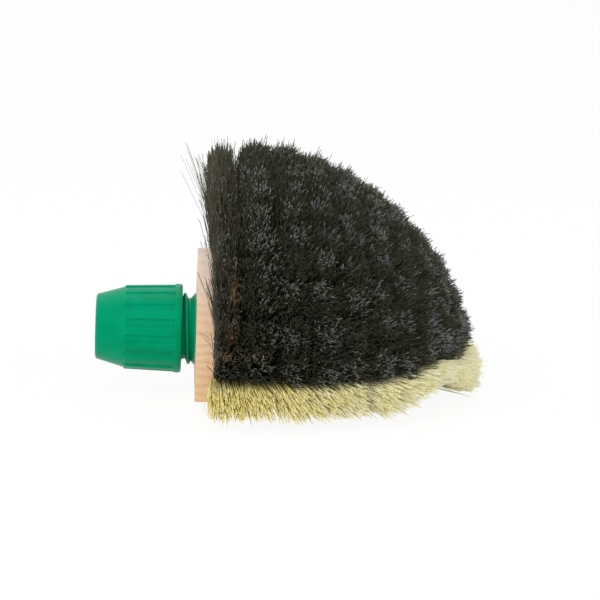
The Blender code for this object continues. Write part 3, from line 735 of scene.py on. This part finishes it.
def strandPaths(random, tuft, look):
    # Points along each strand of a tuft, from an even patch of tips down to the round hole
    direction, along, across, middle, half = tuft
    stands = (direction.z - standing["fromZ"]) / standing["span"]
    upright = min(1.0, max(0.0, stands)) * look["uprightShare"]
    look = dict(look)
    for key in ("shortBy", "curl", "glints", "longBy"):
        look[key] *= 1 + standing[key] * upright
    count = look["count"]
    d, a, b = (np.array(v) for v in (direction, along, across))
    spot = random.uniform(-1, 1, (count, 2))
    longest = np.abs(spot).max(1)
    disc = spot * (longest / np.linalg.norm(spot, axis=1))[:, None]
    spread = spot * look["fill"] + random.normal(0, look["blur"], (count, 2))
    spread += random.normal(0, look["wander"], 2)
    strays = random.uniform(0, 1, count) < look["strayShare"]
    spread[strays] *= 1 + look["strayReach"] * random.uniform(0, 1, (strays.sum(), 1))
    offset = np.array(middle) + spread * np.array(half)
    tipDirection = d + np.tan(offset[:, :1]) * a + np.tan(offset[:, 1:]) * b
    tipDirection = liftTips(tipDirection / np.linalg.norm(tipDirection, axis=1)[:, None])
    tipRadius = tipReach(tipDirection) + look["overreach"] + random.normal(0, look["uneven"], count)
    tipRadius -= look["valley"] * np.abs(spot[:, 1]) ** 1.5 + look["sideDrop"] * spot[:, 0] ** 2
    tipRadius -= random.exponential(look["shortBy"], count)
    longer = random.uniform(0, 1, count) < look["longShare"]
    tipRadius += longer * random.uniform(0, look["longBy"], count)
    tip = np.array(domeCentre) + tipDirection * tipRadius[:, None]
    rootOffset = disc * look["holeRadius"]
    exitPoint = np.array(domeCentre) + d * blockRadius + rootOffset[:, :1] * a + rootOffset[:, 1:] * b
    # The patch of painted tip highlights wanders off the tuft's middle and differs in size and strength
    patch = random.normal(0, look["glintWander"], 2)
    span = look["glintSpan"] * random.uniform(0.7, 1.4)
    chance = look["glints"] * random.uniform(0.55, 1.1) * np.exp(-(np.abs(spot - patch).max(1) / span) ** 4)
    glint = (random.uniform(0, 1, count) < chance) * random.uniform(0.35, 1.0, count)
    return curvedPaths(random, exitPoint, tip, (d, a, b), look), glint


# Drooping strands are highest at top, a share of their length; least is the droop's share in front
arch = dict(top=0.7, least=0.3)
crimpTurn = 9.0   # radians of crimp along a strand


def curvedPaths(random, exitPoint, tip, axes, look):
    d, a, b = axes
    count = len(tip)
    run = tip - exitPoint
    up = run @ d
    side = run - up[:, None] * d
    # Crimp across the strand, and a curl in its last few millimetres
    waveTurn, wavePhase, curlTurn = random.uniform(0, fullTurn, (3, count))
    waveAxis = np.cos(waveTurn)[:, None] * a + np.sin(waveTurn)[:, None] * b
    curlAxis = np.cos(curlTurn)[:, None] * a + np.sin(curlTurn)[:, None] * b
    curlSize = look["curl"] * random.uniform(0.0, 1.0, count) ** 1.5
    crimpSize = look["crimp"] * random.uniform(0.3, 1.2, count)
    # Long soft strands arch up and droop, least where they point along the pole
    droop = look["droop"] * (arch["least"] + (1 - arch["least"]) * d[1] ** 2)
    points = []
    for share in look["shares"]:
        held = max(share, 0.0)
        point = exitPoint + (up * share)[:, None] * d + side * held ** look["bow"]
        wave = crimpSize * held * np.sin(share * crimpTurn + wavePhase)
        bend = max(0.0, (share - look["curlFrom"]) / (1 - look["curlFrom"])) ** 1.4
        point = point + wave[:, None] * waveAxis + (curlSize * bend)[:, None] * curlAxis
        point = point - (curlSize * 0.4 * bend ** 2)[:, None] * d
        fallen = max(0.0, (share - arch["top"]) / (1 - arch["top"])) ** 1.3
        point[:, 2] += droop * (min(held / arch["top"], 1.0) - fallen)
        point[:, 2] = np.maximum(point[:, 2], lowestTip)
        points.append(point)
    return np.stack(points, 1)


# Thin places in the first rows at one side, measured from the dome's centre: an upright and a
# level one, each with the place of its middle, its half width, its span and its strength
partings = dict(
    upright=(8.3 * mm, 2.3 * mm, (38 * mm, 84 * mm), 0.9),
    level=(34 * mm, 1.5 * mm, (-6 * mm, 29 * mm), 1.2),
)
partingEnds = dict(start=4 * mm, end=12 * mm, patch=3.2 * mm)   # how softly they begin and end


def thinShare(tips, random):
    # How far each strand lies in a parting, patchy along it
    x, y, z = (tips - np.array(domeCentre)).T
    share = np.zeros(len(tips))
    for (middle, width, (start, end), strength), across, along in (
        (partings["upright"], x, z), (partings["level"], z, x),
    ):
        inside = np.clip((along - start) / partingEnds["start"], 0, 1)
        inside = inside * np.clip((end - along) / partingEnds["end"], 0, 1)
        patchy = 0.6 + 0.4 * np.sin(along / partingEnds["patch"])
        share = np.maximum(share, strength * patchy * inside * np.exp(-((across - middle) / width) ** 2))
    return share * (y < 0) * random.uniform(0.3, 1.0, len(tips))


def addStrands(name, paths, glints, look, random, material, replaced):
    count, points = paths.shape[:2]
    curve = bpy.data.curves.new(name, "CURVE")
    curve.dimensions = "3D"
    curve.bevel_mode = "OBJECT"
    curve.bevel_object = sectionObject
    size = look["thickness"] / 2 * random.uniform(0.8, 1.15, count)
    size[glints > 0] *= look["glintSize"]
    size[glints < 0] *= looseLook["thickness"] / look["thickness"]   # loose hairs, marked below
    taper = np.linspace(1.0, 0.8, points)
    for path, radius in zip(paths, size):
        spline = curve.splines.new("POLY")
        spline.points.add(points - 1)
        spline.points.foreach_set("co", np.hstack((path, np.ones((points, 1)))).ravel())
        spline.points.foreach_set("radius", radius * taper)
    helper = bpy.data.objects.new(name, curve)
    scene.collection.objects.link(helper)
    view = bpy.context.evaluated_depsgraph_get()
    mesh = bpy.data.meshes.new_from_object(helper.evaluated_get(view))
    bpy.data.objects.remove(helper)
    bpy.data.curves.remove(curve)
    values = dict(
        strand=np.repeat(random.uniform(0, 1, count), points * strandSides),
        glint=np.repeat(np.maximum(glints, 0.0), points * strandSides),
        thin=np.repeat(thinShare(paths[:, -1], random), points * strandSides),
        length=np.tile(np.repeat(np.clip(look["shares"], 0, 1), strandSides), count),
    )
    for label, numbers in values.items():
        attribute = mesh.attributes.new(label, "FLOAT", "POINT")
        attribute.data.foreach_set("value", numbers.astype(np.float32))
    bm = bmesh.new()
    bm.from_mesh(mesh)
    bpy.data.meshes.remove(mesh)
    bmesh.ops.edgeloop_fill(bm, edges=[edge for edge in bm.edges if edge.is_boundary])
    finishPiece(name, bm, material, "root", replaced, sharp=0)


# Single hairs that have worked loose from the first row and lean back: reach along the arch and
# furthest lean, in degrees, and how many
looseHairs = ((62, 118, 11, 26), (14, 60, 6, 9), (120, 166, 6, 8))


def loosePaths(random):
    groups = []
    for fromPhi, toPhi, furthest, count in looseHairs:
        for phi in np.radians(random.uniform(fromPhi, toPhi, count)):
            theta = math.pi / 2 - layout["firstRowAngle"]
            axes = [np.array(v) for v in (
                domeDirection(theta, phi), (0.0, math.sin(phi), math.cos(phi)), acrossRows(theta, phi),
            )]
            d, a, b = axes
            lean = math.radians(furthest) * random.uniform(0.2, 1.0) ** 1.6
            tipDirection = d + math.tan(lean) * b + random.normal(0, 0.05) * a
            tipDirection /= np.linalg.norm(tipDirection)
            length = blockRadius + (reach[2] - blockRadius) * random.uniform(0.75, 1.0)
            exitPoint = np.array([domeCentre + Vector(d) * blockRadius])
            tip = np.array([np.array(domeCentre) + tipDirection * length])
            groups.append(curvedPaths(random, exitPoint, tip, axes, looseLook))
    return np.concatenate(groups)


for row in range(layout["blackRows"]):
    random = np.random.default_rng(seeds["black"] + row)
    look = firstRowLook if row == 0 else blackLook
    parts = [strandPaths(random, tuft, look) for tuft in blackTufts(row)]
    if row == 0:
        loose = loosePaths(random)
        parts.append((loose, np.full(len(loose), -1.0)))   # a glint of -1 marks a loose hair
    paths = np.concatenate([part[0] for part in parts])
    glints = np.concatenate([part[1] for part in parts])
    name = f"blackRow{row + 1:02d}"
    addStrands(name, paths, glints, look, random, blackHair, f"black_row_{row + 1:02d}")
print("black rows made")

for number in range(1, layout["creamTufts"] + 1):
    random = np.random.default_rng(seeds["cream"] + number)
    paths, glints = strandPaths(random, creamTuft(number), creamLook)
    name = f"creamTuft{number:02d}"
    node = f"cream_tuft_{number:02d}"
    addStrands(name, paths, glints, creamLook, random, creamHair, node)
bpy.data.objects.remove(sectionObject)
print("cream tufts made")

# Camera: a long lens from the side and a little above, aimed at the middle of the brush
camera = dict(
    turn=math.radians(-2.0), rise=math.radians(7.9), roll=math.radians(1.88), distance=2.0,
    aim=(45.6 * mm, 0.0, 45.15 * mm), lens=223.0, sensor=36.0, nearest=0.05, furthest=60.0,
)
aim = domeCentre + Vector(camera["aim"])
level, turn = math.cos(camera["rise"]), camera["turn"]
back = Vector((math.sin(turn) * level, -math.cos(turn) * level, math.sin(camera["rise"])))
cameraData = bpy.data.cameras.new("camera")
cameraData.lens = camera["lens"]
cameraData.sensor_width = camera["sensor"]
cameraData.clip_start = camera["nearest"]
cameraData.clip_end = camera["furthest"]
cameraObject = bpy.data.objects.new("camera", cameraData)
scene.collection.objects.link(cameraObject)
facing = back.to_track_quat("Z", "Y").to_matrix() @ Matrix.Rotation(camera["roll"], 3, "Z")
cameraObject.matrix_world = Matrix.Translation(aim + back * camera["distance"]) @ facing.to_4x4()
scene.camera = cameraObject


def mixWhereSeen(tree, share, dim, lit, output):
    # The dim shader lights the scene; the lit one shows, by share, in rays that the camera follows
    paths = addNode(tree, "ShaderNodeLightPath").outputs
    most = dict(operation="MAXIMUM")
    seen = paths["Is Camera Ray"]
    for other in ("Is Glossy Ray", "Is Transmission Ray"):
        seen = addNode(tree, "ShaderNodeMath", most, None, {0: seen, 1: paths[other]}).outputs[0]
    seen = addNode(tree, "ShaderNodeMath", dict(operation="MULTIPLY"), {1: share}, {0: seen}).outputs[0]
    mix = addNode(tree, "ShaderNodeMixShader", None, None, {0: seen, 1: dim, 2: lit})
    tree.links.new(mix.outputs[0], tree.nodes[output].inputs["Surface"])


white = (1.0, 1.0, 1.0, 1.0)

# Pale floor that stays near white for the camera but keeps a soft shadow
floor = dict(size=14.0, drop=0.3 * mm, glow=0.93, roughness=0.9)
floorBm = bmesh.new()
bmesh.ops.create_grid(floorBm, x_segments=1, y_segments=1, size=floor["size"])
bmesh.ops.translate(floorBm, verts=floorBm.verts, vec=(0.0, 0.0, lowestTip - floor["drop"]))
floorMesh = bpy.data.meshes.new("floor")
floorBm.to_mesh(floorMesh)
floorBm.free()
floorObject = bpy.data.objects.new("floor", floorMesh)
scene.collection.objects.link(floorObject)
floorMaterial, tree, shader = newMaterial("paleFloor", Roughness=floor["roughness"])
shader.inputs["Specular IOR Level"].default_value = 0.0
shader.inputs["Base Color"].default_value = white
glow = addNode(tree, "ShaderNodeEmission", None, {"Color": white, "Strength": 1.0})
mixWhereSeen(tree, floor["glow"], shader.outputs[0], glow.outputs[0], "Material Output")
floorMesh.materials.append(floorMaterial)

# Soft studio light: a bright room and large lamps, each with its place, size and power
lighting = dict(worldLight=0.7, worldSeen=1.0, targetHeight=30 * mm)
lamps = (
    ("keyLamp", (-0.8, -1.9, 1.3), 1.6, 18.0),
    ("fillLamp", (1.4, -1.8, 0.6), 1.6, 6.0),
    ("lowLamp", (0.1, -2.2, 0.12), 1.2, 7.0),
    ("topLamp", (0.2, 0.6, 2.2), 2.0, 10.0),
)
world = bpy.data.worlds.new("studio")
world.use_nodes = True
scene.world = world
tree = world.node_tree
room = tree.nodes["Background"]
room.inputs["Color"].default_value = white
room.inputs["Strength"].default_value = lighting["worldLight"]
backdrop = addNode(tree, "ShaderNodeBackground", None, {"Color": white, "Strength": lighting["worldSeen"]})
mixWhereSeen(tree, 1.0, room.outputs[0], backdrop.outputs[0], "World Output")
target = domeCentre + Vector((0.0, 0.0, lighting["targetHeight"]))
for name, place, size, power in lamps:
    lampData = bpy.data.lights.new(name, "AREA")
    lampData.shape = "SQUARE"
    lampData.size = size
    lampData.energy = power
    lamp = bpy.data.objects.new(name, lampData)
    scene.collection.objects.link(lamp)
    away = (Vector(place) - target).normalized()
    lamp.matrix_world = Matrix.Translation(place) @ away.to_track_quat("Z", "Y").to_matrix().to_4x4()
print("camera, floor and light made")

scene.view_settings.view_transform = "Standard"
